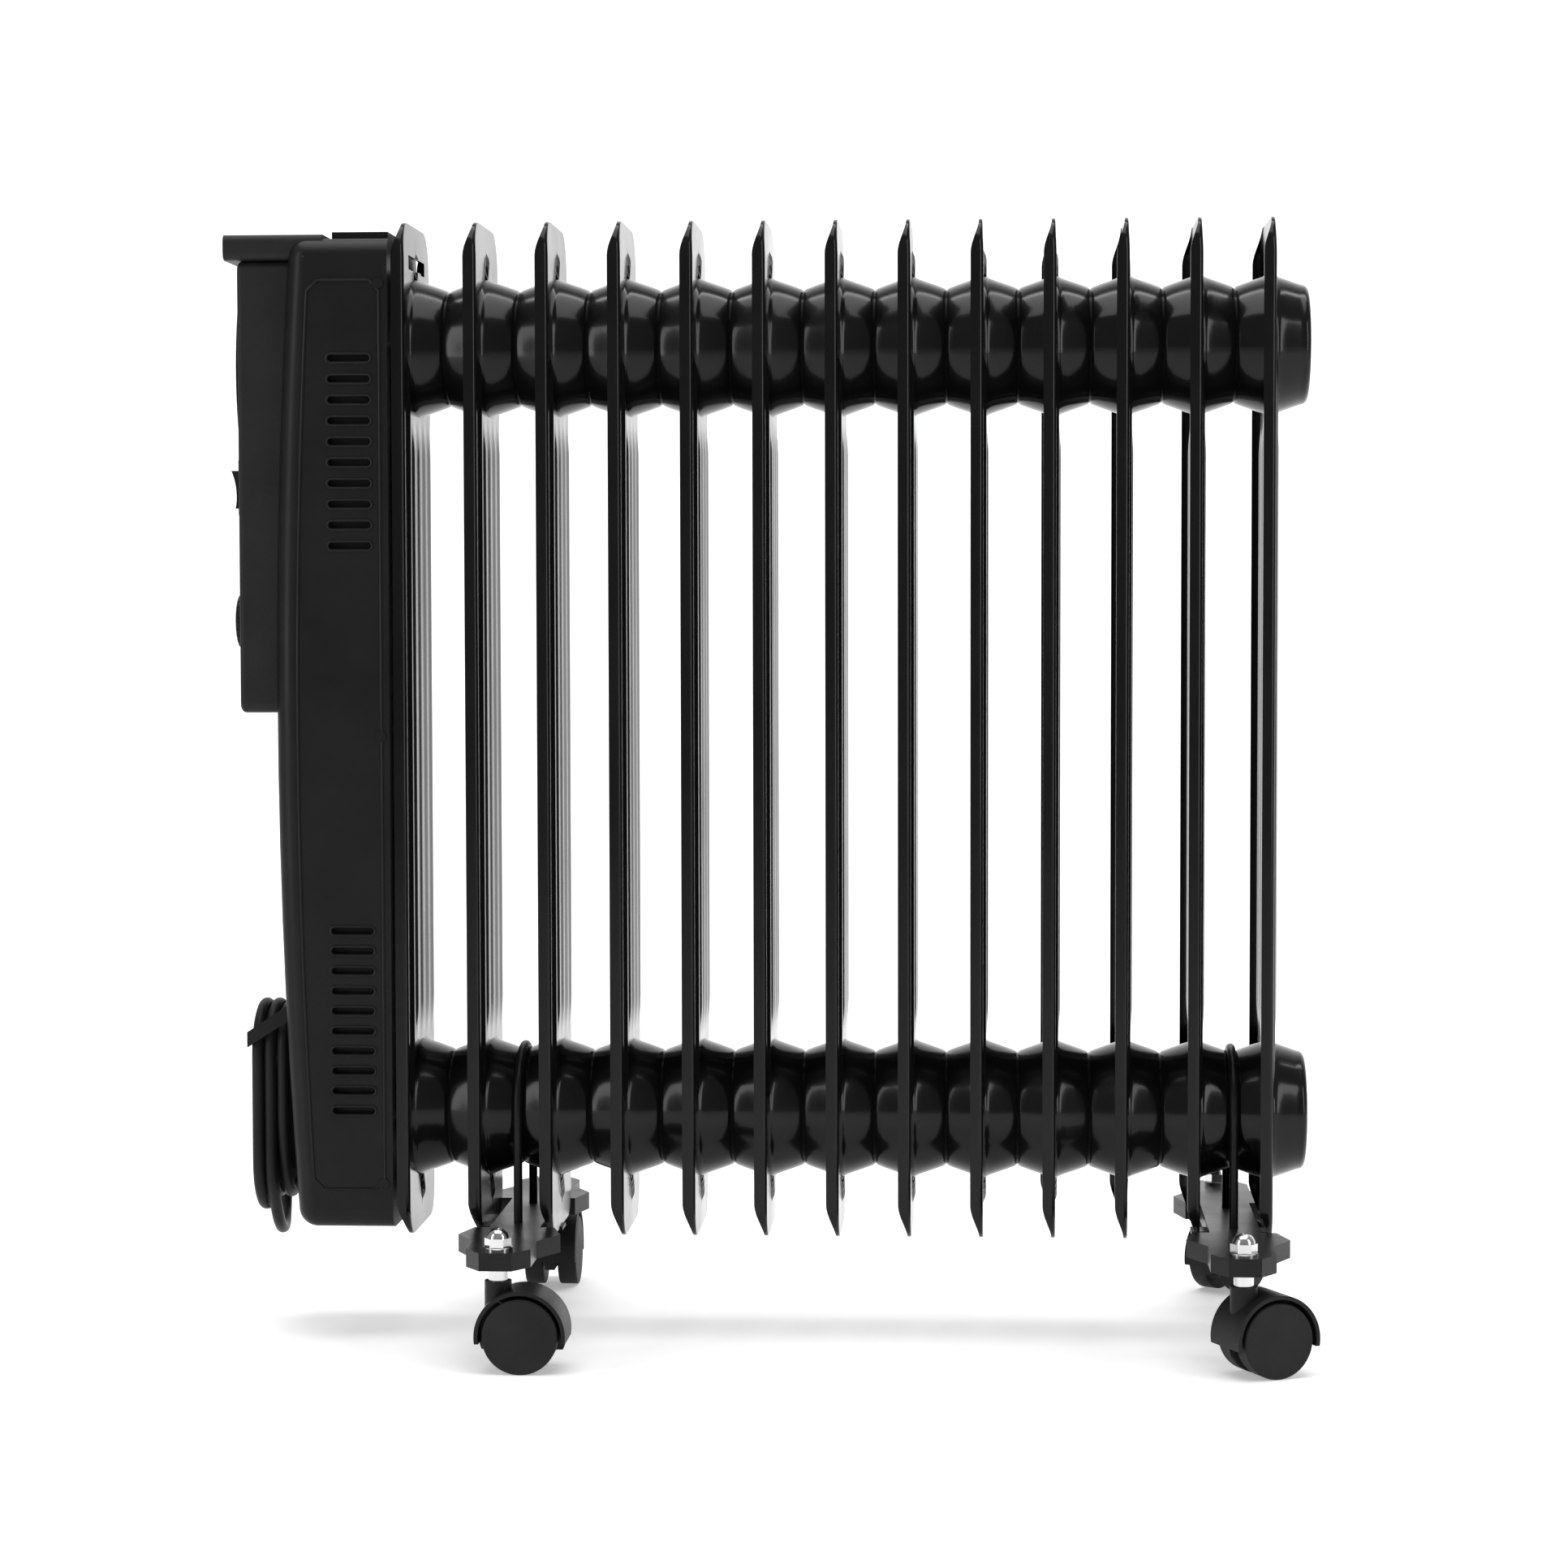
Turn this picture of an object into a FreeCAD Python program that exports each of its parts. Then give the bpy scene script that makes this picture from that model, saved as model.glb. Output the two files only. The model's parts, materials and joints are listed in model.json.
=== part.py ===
"""Oil filled radiator heater: a welded core of pressed steel fins on two header tubes, a sheet
steel control box with a plastic control panel on its left end, and two pressed feet, each
clamped to the lower header by a U-bolt and carried on two swivelling twin-wheel casters.

Frame: millimetres, +Z up, +X from the control box to the far end of the core, -Y the front.
The origin is on the floor, midway between the two feet and between the fins' front and back edges.
"""
import FreeCAD
import Part

import math
import os

V = FreeCAD.Vector

# ---- driving dimensions: the core ----
FIN_COUNT = 13
FIN_PITCH = 41.0
FIN_HEIGHT = 580.0
FIN_DEPTH = 100.0          # front to back
FIN_LIP = 7.3              # width of the folded front and back edges
FIN_SHEET = 1.6            # the two sheets of a fin, welded together
FIN_CORNER = 18.0
LIP_TAPER = 18.0           # height over which a folded edge runs out at top and bottom
CHANNELS = 3               # oil channels side by side in a fin
CHANNEL_WIDTH = 16.0
CHANNEL_PITCH = 22.0
CHANNEL_RISE = 2.4         # how far a channel stands out of the sheet, each side
CHANNEL_PAST = 5.0         # the channels go this far past each header
AIR_SLOT_LENGTH = 62.0     # slot under the top edge of the fin beside the control box
AIR_SLOT_HEIGHT = 8.0
AIR_SLOT_DROP = 18.0
HEADER_SPACING = 440.0     # lower header axis to upper header axis
HEADER_WAIST = 33.0        # outside radius where two fins' bosses are welded together
HEADER_SHOULDER = 37.5     # outside radius of a boss near its fin
HEADER_ROOT = 41.0         # outside radius of a boss at its fin
HEADER_WALL = 1.5
SHOULDER_REACH = 7.0       # from a fin's sheet to the boss's shoulder
END_DOME = 2.6             # how far the far end of a header bulges
# ---- driving dimensions: feet and casters ----
FIN_CLEARANCE = 60.0       # floor to the fins' bottom edges
FOOT_TOP = 67.0            # floor to the top of the foot plates
FOOT_LENGTH = 276.0
FOOT_HALF_END = 18.0
FOOT_HALF_WAIST = 14.5
FOOT_HALF_WING = 29.0
FOOT_SHEET = 2.0
FOOT_FLANGE = 10.0
WING_FROM = 52.5           # distance from the middle of the foot to where a wing begins
WING_TIP = 76.0
WING_TO = 98.0
UBOLT_ROD = 5.0
UBOLT_SEAT = 0.16          # lets the rod's round side rest on the cones beside the header's waist
NUT_STACK = 12.0
STEM_SPACING = 250.0       # front caster stem to back caster stem
STEM_DIAMETER = 8.0
WHEEL_RADIUS = 21.0
WHEEL_WIDTH = 11.5
WHEEL_GAP = 9.0            # between the two wheels of a caster
HOOD_RADIUS = 25.3
HOOD_WALL = 2.2
HOOD_WEB = 6.0             # plate between the wheels that carries the axle
TRAIL = 13.5               # stem axis to wheel axis
COLLAR_RADIUS = 7.5
COLLAR_TOP = 50.0
STEM_DEPTH = 12.0
AXLE_DIAMETER = 5.0
RUNNING = 0.05             # radial clearance of an axle or stem that turns
# Turn of each caster about its stem, in degrees: 0 trails towards +X.
CASTER_TURNS = {"front_left": 0.0, "front_right": 25.0, "back_left": 90.0, "back_right": 55.0}
# ---- driving dimensions: the control box ----
BOX_GAP = 1.35             # box to the edge of the first fin
BOX_HALF_DEPTH = 56.0
BOX_TOP = FIN_CLEARANCE + FIN_HEIGHT - 10.0
BOX_BOTTOM = FIN_CLEARANCE + 6.0
BOX_LENGTH_TOP = 57.0      # length along X at the top, the belly and the bottom
BOX_LENGTH_BELLY = 66.0
BOX_LENGTH_BOTTOM = 55.0
BOX_BELLY = BOX_BOTTOM + 284.0
BOX_WALL = 1.2
BOX_CORNER = 11.0
SLOT_COUNT = 10
SLOT_HEIGHT = 3.6
SLOT_LENGTH = 24.0
SLOT_EDGE = 10.0           # from the box's right edge to the slots
UPPER_SLOTS = (BOX_TOP - 174.0, BOX_TOP - 68.0)
LOWER_SLOTS = (BOX_BOTTOM + 68.0, BOX_BOTTOM + 171.0)
PANEL_TOP = BOX_TOP - 12.0
PANEL_BOTTOM = PANEL_TOP - 257.0
PANEL_HALF = 47.0
PANEL_WALL = 2.2
PANEL_FACE = 92.5          # first fin to the panel's face, along X
PANEL_CORNER = 6.0
FASCIA_RISE = 2.4
CAP_OVERHANG = 99.5        # first fin to the cap's left edge, along X
CAP_OVER_BOX = 2.5         # how far the cap stands above the box
HANDLE_RISE = 4.5
ROCKER_HEIGHT = 23.0
ROCKER_WIDTH = 15.0
ROCKER_SPACING = 26.0
ROCKER_Z = PANEL_TOP - 128.0
ROCKER_TILT = 6.0          # each way from level; at rest a rocker is off
KNOB_RADIUS = 16.0
KNOB_Z = PANEL_TOP - 205.0
KNOB_STAND = 8.5           # how far the knob stands out of the panel
SHAFT_DIAMETER = 6.0
LAMP_Z = PANEL_TOP - 9.0
ROCKER_STAND = 8.0
BEZEL_STAND = 4.5
# ---- driving dimensions: cord ----
CORD = 7.0
HANK_TOP = 193.0
HANK_BOTTOM = 68.0
HANK_HALF = 31.0
HANK_THICK = 22.0
HANK_EYE = 10.0            # half width of the hank's open middle
HANK_STANDOFF = 2.0
STRAP_WIDTH = 9.0
STRAP_THICK = 1.6
PLUG_RADIUS = 11.0
PLUG_LENGTH = 34.0
PLUG_BOOT = 20.0
PIN_RADIUS = 2.4
PIN_LENGTH = 19.0
PIN_SPACING = 13.0

# ---- places worked out from the sizes ----
SHEET_X = FIN_LIP / 2 - FIN_SHEET / 2            # a fin's sheet, from the middle of its edge
FIRST_FIN = -FIN_COUNT / 2 * FIN_PITCH - SHEET_X
FIN_X = [FIRST_FIN + i * FIN_PITCH for i in range(FIN_COUNT)]
FIN_BOTTOM = FIN_CLEARANCE
FIN_TOP = FIN_CLEARANCE + FIN_HEIGHT
LOWER_Z = FIN_CLEARANCE + (FIN_HEIGHT - HEADER_SPACING) / 2
UPPER_Z = LOWER_Z + HEADER_SPACING
FOOT_X = {"left": (FIN_X[1] + FIN_X[2]) / 2 + SHEET_X, "right": (FIN_X[-2] + FIN_X[-1]) / 2 + SHEET_X}
BOX_RIGHT = FIN_X[0] - FIN_LIP / 2 - BOX_GAP
PANEL_X = FIN_X[0] - PANEL_FACE
CORNERS = {"front_left": ("left", -1), "front_right": ("right", -1),
           "back_left": ("left", 1), "back_right": ("right", 1)}

parts = {}


def keep(name, *solids):
    """A node holds one solid, or a group of separate ones."""
    parts[name] = solids[0] if len(solids) == 1 else Part.makeCompound(list(solids))


def box(x0, x1, y0, y1, z0, z1):
    return Part.makeBox(x1 - x0, y1 - y0, z1 - z0, V(x0, y0, z0))


def rod(x, y, z, radius, length, axis=(0, 0, 1)):
    return Part.makeCylinder(radius, length, V(x, y, z), V(*axis))


def prism(points, direction):
    """A flat outline of straight edges, extruded."""
    wire = Part.makePolygon([V(*p) for p in points] + [V(*points[0])])
    return Part.Face(wire).extrude(V(*direction))


def stadium_x(x0, x1, y0, y1, z0, z1):
    """A slot-shaped block along Y with round ends, cut through along X."""
    r = (z1 - z0) / 2
    middle = box(x0, x1, y0 + r, y1 - r, z0, z1)
    ends = [rod(x0, y, z0 + r, r, x1 - x0, (1, 0, 0)) for y in (y0 + r, y1 - r)]
    return middle.fuse(ends).removeSplitter()


def stadium_y(x0, x1, y0, y1, z0, z1):
    """A slot-shaped block along X with round ends, cut through along Y."""
    r = (z1 - z0) / 2
    middle = box(x0 + r, x1 - r, y0, y1, z0, z1)
    ends = [rod(x, y0, z0 + r, r, y1 - y0, (0, 1, 0)) for x in (x0 + r, x1 - r)]
    return middle.fuse(ends).removeSplitter()


def rounded_sheet(x0, x1, half, z0, z1, corner):
    """A block whose YZ outline is a rectangle with round corners."""
    block = box(x0, x1, -half, half, z0, z1)
    upright = [e for e in block.Edges if abs(e.Vertexes[0].Y - e.Vertexes[1].Y) < 1e-6
               and abs(e.Vertexes[0].Z - e.Vertexes[1].Z) < 1e-6]
    return block.makeFillet(corner, upright)


# ---- fins ----
def make_fin(x, slotted):
    """One fin: a flat double sheet with folded front and back edges and pressed oil channels."""
    sheet = x + SHEET_X
    back, front = sheet + FIN_SHEET / 2, x - FIN_LIP / 2
    half = FIN_DEPTH / 2
    pan = rounded_sheet(front, back, half, FIN_BOTTOM, FIN_TOP, FIN_CORNER)
    inside = rounded_sheet(front - 1, back - FIN_SHEET, half - FIN_SHEET, FIN_BOTTOM + FIN_SHEET,
                           FIN_TOP - FIN_SHEET, FIN_CORNER - FIN_SHEET)
    fin = pan.cut(inside)
    edge = back - FIN_SHEET
    for end, way in ((FIN_TOP, 1), (FIN_BOTTOM, -1)):
        wedge = prism([(front - 1, -half - 1, end - way * (LIP_TAPER + 3)), (edge, -half - 1, end),
                       (edge, -half - 1, end + way * 5), (front - 1, -half - 1, end + way * 5)],
                      (0, FIN_DEPTH + 2, 0))
        fin = fin.cut(wedge)
    first = -(CHANNELS - 1) / 2 * CHANNEL_PITCH
    low = LOWER_Z - HEADER_ROOT - CHANNEL_PAST
    high = UPPER_Z + HEADER_ROOT + CHANNEL_PAST
    for i in range(CHANNELS):
        y = first + i * CHANNEL_PITCH
        for way in (-1, 1):
            crest = sheet + way * (FIN_SHEET / 2 + CHANNEL_RISE)
            outline = [(sheet, y - CHANNEL_WIDTH / 2, low), (crest, y - CHANNEL_WIDTH / 4, low),
                       (crest, y + CHANNEL_WIDTH / 4, low), (sheet, y + CHANNEL_WIDTH / 2, low)]
            ridge = prism(outline, (0, 0, high - low))
            fin = fin.fuse(ridge)
    for z in (LOWER_Z, UPPER_Z):
        fin = fin.cut(rod(x - 20, 0, z, HEADER_ROOT, 40, (1, 0, 0)))
    if not slotted:
        return fin
    slot_top = FIN_TOP - AIR_SLOT_DROP
    return fin.cut(stadium_x(x - 20, x + 20, -AIR_SLOT_LENGTH / 2, AIR_SLOT_LENGTH / 2,
                             slot_top - AIR_SLOT_HEIGHT, slot_top))


for number, x in enumerate(FIN_X, 1):
    keep(f"fin_{number:02d}", make_fin(x, number == 1))


# ---- headers ----
def header_profile(inset):
    """Half section of a header from the first fin to the far end: one boss each side of every sheet."""
    points = []
    for x in FIN_X:
        sheet = x + SHEET_X
        left = sheet - FIN_PITCH / 2
        if x == FIN_X[0]:
            points.append((sheet - FIN_SHEET / 2, HEADER_ROOT - inset))
        else:
            points += [(left, HEADER_WAIST - inset), (sheet - SHOULDER_REACH, HEADER_SHOULDER - inset),
                       (sheet - FIN_SHEET / 2 - 1.0, HEADER_ROOT - inset)]
        points += [(sheet + FIN_SHEET / 2 + 1.0, HEADER_ROOT - inset),
                   (sheet + SHOULDER_REACH, HEADER_SHOULDER - inset)]
    points.append((FIN_X[-1] + SHEET_X + FIN_PITCH / 2 - inset, HEADER_WAIST - inset))
    return points


HEADER_START = FIN_X[0] + SHEET_X - FIN_SHEET / 2
HEADER_END = FIN_X[-1] + SHEET_X + FIN_PITCH / 2
ELEMENT_BORE = 24.0


def revolve(points, z):
    """Turns a half section of (x, radius) points about the line along X at height z."""
    wire = Part.makePolygon([V(x, 0, z + r) for x, r in points + points[:1]])
    return Part.Face(wire).revolve(V(0, 0, z), V(1, 0, 0), 360)


def make_header(z, bore):
    """A closed, hollow chain of bosses, with a bore in its left end for the heating element."""
    outer = [(HEADER_START, 0)] + header_profile(0) + [(HEADER_END + END_DOME, HEADER_WAIST - 6), (HEADER_END + END_DOME, 0)]
    inner = [(HEADER_START + HEADER_WALL, 0)] + header_profile(HEADER_WALL)
    inner[1] = (HEADER_START + HEADER_WALL, HEADER_ROOT - HEADER_WALL)
    inner += [(HEADER_END - HEADER_WALL, 0)]
    shell = revolve(outer, z).cut(revolve(inner, z))
    if bore:
        shell = shell.cut(rod(HEADER_START - 5, 0, z, bore, 5 + 2 * HEADER_WALL, (1, 0, 0)))
    return shell


keep("upper_header", make_header(UPPER_Z, 0))
keep("lower_header", make_header(LOWER_Z, ELEMENT_BORE))

# ---- heating element ----
FLANGE_THICK = 4.0
ELEMENT_TUBE = 8.0
ELEMENT_LEG = 11.0         # each leg from the header's axis
ELEMENT_REACH = 440.0
TERMINAL_REACH = 16.0
flange_x = HEADER_START - FLANGE_THICK
flange = rod(flange_x, 0, LOWER_Z, ELEMENT_BORE + 8, FLANGE_THICK, (1, 0, 0))
for side in (-1, 1):
    flange = flange.cut(rod(flange_x - 1, 0, LOWER_Z + side * ELEMENT_LEG, ELEMENT_TUBE / 2, FLANGE_THICK + 2, (1, 0, 0)))
keep("element_flange", flange)
legs = [rod(flange_x - TERMINAL_REACH, 0, LOWER_Z + side * ELEMENT_LEG, ELEMENT_TUBE / 2,
            ELEMENT_REACH + TERMINAL_REACH, (1, 0, 0)) for side in (-1, 1)]
bend = Part.makeTorus(ELEMENT_LEG, ELEMENT_TUBE / 2, V(flange_x + ELEMENT_REACH, 0, LOWER_Z), V(0, 1, 0))
bend = bend.common(box(flange_x + ELEMENT_REACH, flange_x + ELEMENT_REACH + 40, -20, 20, LOWER_Z - 30, LOWER_Z + 30))
keep("heating_element", legs[0].fuse([legs[1], bend]).removeSplitter())


# ---- control box ----
def box_profile(inset):
    """Side view of the box: it is longest at its belly and shorter at the top and the bottom."""
    right = BOX_RIGHT + (1 if inset else 0)
    bottom = V(BOX_RIGHT - BOX_LENGTH_BOTTOM + inset, -BOX_HALF_DEPTH + inset, BOX_BOTTOM + inset)
    belly = V(BOX_RIGHT - BOX_LENGTH_BELLY + inset, -BOX_HALF_DEPTH + inset, BOX_BELLY)
    top = V(BOX_RIGHT - BOX_LENGTH_TOP + inset, -BOX_HALF_DEPTH + inset, BOX_TOP - inset)
    corners = [top, V(right, top.y, top.z), V(right, top.y, bottom.z), bottom]
    edges = [Part.LineSegment(a, b).toShape() for a, b in zip(corners, corners[1:])]
    return Part.Wire([Part.Arc(bottom, belly, top).toShape()] + edges)


def box_form(inset):
    form = Part.Face(box_profile(inset)).extrude(V(0, 2 * (BOX_HALF_DEPTH - inset), 0))
    soft = [e for e in form.Edges if min(v.X for v in e.Vertexes) < BOX_RIGHT - 5]
    return form.makeFillet(BOX_CORNER - inset, soft)


def slot_heights(span):
    low, high = span
    return [low + i * (high - low) / (SLOT_COUNT - 1) for i in range(SLOT_COUNT)]


KNOB_HOLE = 5.0
SWITCH_HALF_Y = ROCKER_WIDTH / 2 + 1.5
SWITCH_HALF_Z = ROCKER_HEIGHT / 2 + 3.2
BUSH_Y = 38.0              # where the cord leaves the box
BUSH_Z = 86.0
BUSH_RADIUS = 7.5
BUSH_NECK = 5.6


def box_face(z):
    """X of the box's left face at height z: a curve through its bottom, belly and top."""
    known = [(BOX_BOTTOM, BOX_LENGTH_BOTTOM), (BOX_BELLY, BOX_LENGTH_BELLY), (BOX_TOP, BOX_LENGTH_TOP)]
    length = 0.0
    for i, (zi, value) in enumerate(known):
        others = [zj for j, (zj, _) in enumerate(known) if j != i]
        length += value * (z - others[0]) * (z - others[1]) / ((zi - others[0]) * (zi - others[1]))
    return BOX_RIGHT - length


def make_casing():
    shell = box_form(0).cut(box_form(BOX_WALL))
    x1 = BOX_RIGHT - SLOT_EDGE
    for z in slot_heights(UPPER_SLOTS) + slot_heights(LOWER_SLOTS):
        shell = shell.cut(stadium_y(x1 - SLOT_LENGTH, x1, -BOX_HALF_DEPTH - 5, BOX_HALF_DEPTH + 5,
                                    z - SLOT_HEIGHT / 2, z + SLOT_HEIGHT / 2))
    # window behind the control panel, and the hole for the cord bush
    shell = shell.cut(box(BOX_RIGHT - 80, BOX_RIGHT - 40, -PANEL_HALF + 6, PANEL_HALF - 6,
                          PANEL_BOTTOM + 6, PANEL_TOP - 20))
    shell = shell.cut(rod(BOX_RIGHT - 80, BUSH_Y, BUSH_Z, BUSH_NECK, 50, (1, 0, 0)))
    return shell


keep("box_casing", make_casing())
plate = rounded_sheet(BOX_RIGHT - BOX_WALL, BOX_RIGHT, BOX_HALF_DEPTH - BOX_WALL,
                      BOX_BOTTOM + BOX_WALL, BOX_TOP - BOX_WALL, BOX_CORNER - BOX_WALL)
# the back plate clears the element's flange, and four liners on it stand behind the air slots
LINER_IN = 6.0             # from the box's side to its liner
LINER_PAST = 8.0
liner_y = BOX_HALF_DEPTH - LINER_IN
shield = plate.cut(rod(BOX_RIGHT - 5, 0, LOWER_Z, ELEMENT_BORE + 10, 10, (1, 0, 0)))
for low, high in (UPPER_SLOTS, LOWER_SLOTS):
    for y in (-liner_y, liner_y - BOX_WALL):
        left = BOX_RIGHT - SLOT_EDGE - SLOT_LENGTH - LINER_PAST
        shield = shield.fuse(box(left, BOX_RIGHT, y, y + BOX_WALL, low - LINER_PAST, high + LINER_PAST))
keep("heat_shield", shield.removeSplitter())
# studs between the back plate and the headers' left ends carry the box
STUD = 3.2
stud_places = [(s * 25.0, UPPER_Z) for s in (-1, 1)] + [(s * 37.5, LOWER_Z) for s in (-1, 1)]
keep("box_studs", *[rod(BOX_RIGHT, y, z, STUD, HEADER_START - BOX_RIGHT, (1, 0, 0)) for y, z in stud_places])


# ---- control panel ----
def make_panel():
    """The plastic panel: a shallow tray on the box's left face, open towards the box."""
    solid = rounded_sheet(PANEL_X, BOX_RIGHT, PANEL_HALF, PANEL_BOTTOM, PANEL_TOP, PANEL_CORNER)
    rim = [e for e in solid.Edges if max(v.X for v in e.Vertexes) < PANEL_X + 0.01]
    solid = solid.makeFillet(3.0, rim)
    inner = rounded_sheet(PANEL_X + PANEL_WALL, BOX_RIGHT + 1, PANEL_HALF - PANEL_WALL,
                          PANEL_BOTTOM + PANEL_WALL, PANEL_TOP - PANEL_WALL, PANEL_CORNER - PANEL_WALL)
    panel = solid.cut(inner).cut(box_form(0))
    panel = max(panel.cut(box(BOX_RIGHT - 50, BOX_RIGHT + 5, -90, 90, PANEL_BOTTOM - 50, BOX_TOP + 50)).Solids, key=lambda p: p.Volume)
    for y in (-ROCKER_SPACING / 2, ROCKER_SPACING / 2):
        panel = panel.cut(box(PANEL_X - 5, PANEL_X + 5, y - SWITCH_HALF_Y, y + SWITCH_HALF_Y,
                              ROCKER_Z - SWITCH_HALF_Z, ROCKER_Z + SWITCH_HALF_Z))
    panel = panel.cut(rod(PANEL_X - 5, 0, KNOB_Z, KNOB_HOLE, 10, (1, 0, 0)))
    return panel.cut(rod(PANEL_X - 5, 0, LAMP_Z, 3.0, 10, (1, 0, 0)))


keep("control_panel", make_panel())
FASCIA = (PANEL_TOP - 110.0, PANEL_TOP - 14.0)
arc = Part.Arc(V(PANEL_X, 0, FASCIA[0]), V(PANEL_X - FASCIA_RISE, 0, sum(FASCIA) / 2), V(PANEL_X, 0, FASCIA[1]))
flat = Part.LineSegment(V(PANEL_X, 0, FASCIA[1]), V(PANEL_X, 0, FASCIA[0]))
fascia = Part.Face(Part.Wire([arc.toShape(), flat.toShape()])).extrude(V(0, 2 * (PANEL_HALF - 9), 0))
fascia.translate(V(0, -(PANEL_HALF - 9), 0))
keep("panel_fascia", fascia)

CAP_CORNER = 4.5
cap_right = BOX_RIGHT - 38
cap = rounded_sheet(FIN_X[0] - CAP_OVERHANG, cap_right, PANEL_HALF + 3, PANEL_TOP, BOX_TOP + CAP_OVER_BOX, CAP_CORNER)
keep("panel_cap", cap.cut(box_form(0)))

handle = box(BOX_RIGHT - 34, BOX_RIGHT - 2, -38, 38, BOX_TOP, BOX_TOP + HANDLE_RISE)
handle = handle.cut(box(BOX_RIGHT - 28, BOX_RIGHT - 8, -32, 32, BOX_TOP - 1, BOX_TOP + HANDLE_RISE - 1.5))
keep("grip_cover", handle)

# ---- switches: the housings are fixed in the panel, the rockers turn on a pin ----
ROCKER_PIN = 2.0
SWITCH_DEPTH = 14.0
pin_x = PANEL_X + 3.0
housings = []
for name, y in (("low", -ROCKER_SPACING / 2), ("high", ROCKER_SPACING / 2)):
    half = ROCKER_HEIGHT / 2
    house = box(PANEL_X, PANEL_X + SWITCH_DEPTH, y - SWITCH_HALF_Y, y + SWITCH_HALF_Y,
                ROCKER_Z - SWITCH_HALF_Z, ROCKER_Z + SWITCH_HALF_Z)
    bezel = box(PANEL_X - BEZEL_STAND, PANEL_X, y - SWITCH_HALF_Y - 1, y + SWITCH_HALF_Y + 1,
                ROCKER_Z - SWITCH_HALF_Z - 1, ROCKER_Z + SWITCH_HALF_Z + 1)
    hollow = box(PANEL_X - 10, PANEL_X + 10.5, y - ROCKER_WIDTH / 2 - 0.4, y + ROCKER_WIDTH / 2 + 0.4,
                 ROCKER_Z - half - 1.7, ROCKER_Z + half + 1.7)
    pin = rod(pin_x, y - ROCKER_WIDTH / 2 - 1, ROCKER_Z, ROCKER_PIN / 2, ROCKER_WIDTH + 2, (0, 1, 0))
    housings.append(house.fuse(bezel).cut(hollow).fuse(pin).removeSplitter())
    tip = PANEL_X - ROCKER_STAND
    crown = Part.Arc(V(tip, y, ROCKER_Z - half + 0.5), V(tip + 1.6, y, ROCKER_Z), V(tip, y, ROCKER_Z + half - 0.5))
    outline = [V(tip, y, ROCKER_Z + half - 0.5), V(PANEL_X + 1.0, y, ROCKER_Z + half - 1.5),
               V(PANEL_X + 6.0, y, ROCKER_Z + 3.5), V(PANEL_X + 6.0, y, ROCKER_Z - 3.5),
               V(PANEL_X + 1.0, y, ROCKER_Z - half + 1.5), V(tip, y, ROCKER_Z - half + 0.5)]
    wire = Part.Wire([crown.toShape()] + [Part.LineSegment(a, b).toShape() for a, b in zip(outline, outline[1:])])
    paddle = Part.Face(wire).extrude(V(0, ROCKER_WIDTH, 0))
    paddle.translate(V(0, -ROCKER_WIDTH / 2, 0))
    paddle = paddle.cut(rod(pin_x, y - 20, ROCKER_Z, ROCKER_PIN / 2 + RUNNING, 40, (0, 1, 0)))
    paddle.rotate(V(pin_x, y, ROCKER_Z), V(0, 1, 0), -ROCKER_TILT)
    keep(f"rocker_{name}", paddle)
keep("switch_housings", *housings)

# ---- thermostat ----
SHAFT_END = PANEL_X - KNOB_STAND + 2.0
thermostat = box(PANEL_X + 16, PANEL_X + 40, -17, 17, KNOB_Z - 17, KNOB_Z + 17)
neck = rod(PANEL_X + PANEL_WALL, 0, KNOB_Z, 6.5, 16 - PANEL_WALL, (1, 0, 0))
body = thermostat.fuse(neck).removeSplitter()
body = body.cut(rod(PANEL_X - 5, 0, KNOB_Z, SHAFT_DIAMETER / 2 + RUNNING, 25, (1, 0, 0)))
keep("thermostat", body)
keep("thermostat_shaft", rod(SHAFT_END + 0.2, 0, KNOB_Z, SHAFT_DIAMETER / 2, PANEL_X + 19.5 - SHAFT_END, (1, 0, 0)))
KNOB_SKIRT = 0.5           # gap under the knob
knob = rod(PANEL_X - KNOB_STAND, 0, KNOB_Z, KNOB_RADIUS, KNOB_STAND - KNOB_SKIRT, (1, 0, 0))
knob = knob.makeChamfer(0.8, [e for e in knob.Edges if abs(e.BoundBox.XMin - (PANEL_X - KNOB_STAND)) < 1e-4
                              and abs(e.BoundBox.XMax - (PANEL_X - KNOB_STAND)) < 1e-4])
hub = rod(PANEL_X - KNOB_STAND + 0.5, 0, KNOB_Z, KNOB_HOLE - 0.4, KNOB_STAND + 0.8, (1, 0, 0))
knob = knob.fuse(hub).cut(rod(SHAFT_END, 0, KNOB_Z, SHAFT_DIAMETER / 2, 30, (1, 0, 0)))
for i in range(24):
    a = 2 * math.pi * i / 24
    knob = knob.cut(rod(PANEL_X - 10, (KNOB_RADIUS + 0.5) * math.cos(a), KNOB_Z + (KNOB_RADIUS + 0.5) * math.sin(a),
                        1.2, 20, (1, 0, 0)))
knob = knob.cut(box(PANEL_X - KNOB_STAND - 1, PANEL_X - KNOB_STAND + 0.7, -0.8, 0.8, KNOB_Z + 6, KNOB_Z + 14))
keep("thermostat_knob", knob.removeSplitter())
keep("pilot_lamp", rod(PANEL_X - 2.0, 0, LAMP_Z, 3.0, 12, (1, 0, 0)))

# ---- inside the box ----
WALL_X = BOX_RIGHT - BOX_WALL
BLOCK_Z = LOWER_Z + 98.0
keep("terminal_block", box(WALL_X - 14, WALL_X, -20, 20, BLOCK_Z, BLOCK_Z + 18))
keep("thermal_cutout", rod(WALL_X - 8, 0, LOWER_Z + 55, 9, 8, (1, 0, 0)).fuse(
    box(WALL_X - 2, WALL_X, -16, 16, LOWER_Z + 49, LOWER_Z + 61)).removeSplitter())
keep("tilt_switch", box(WALL_X - 18, WALL_X, -12, 12, BLOCK_Z + 62, BLOCK_Z + 88))


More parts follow.
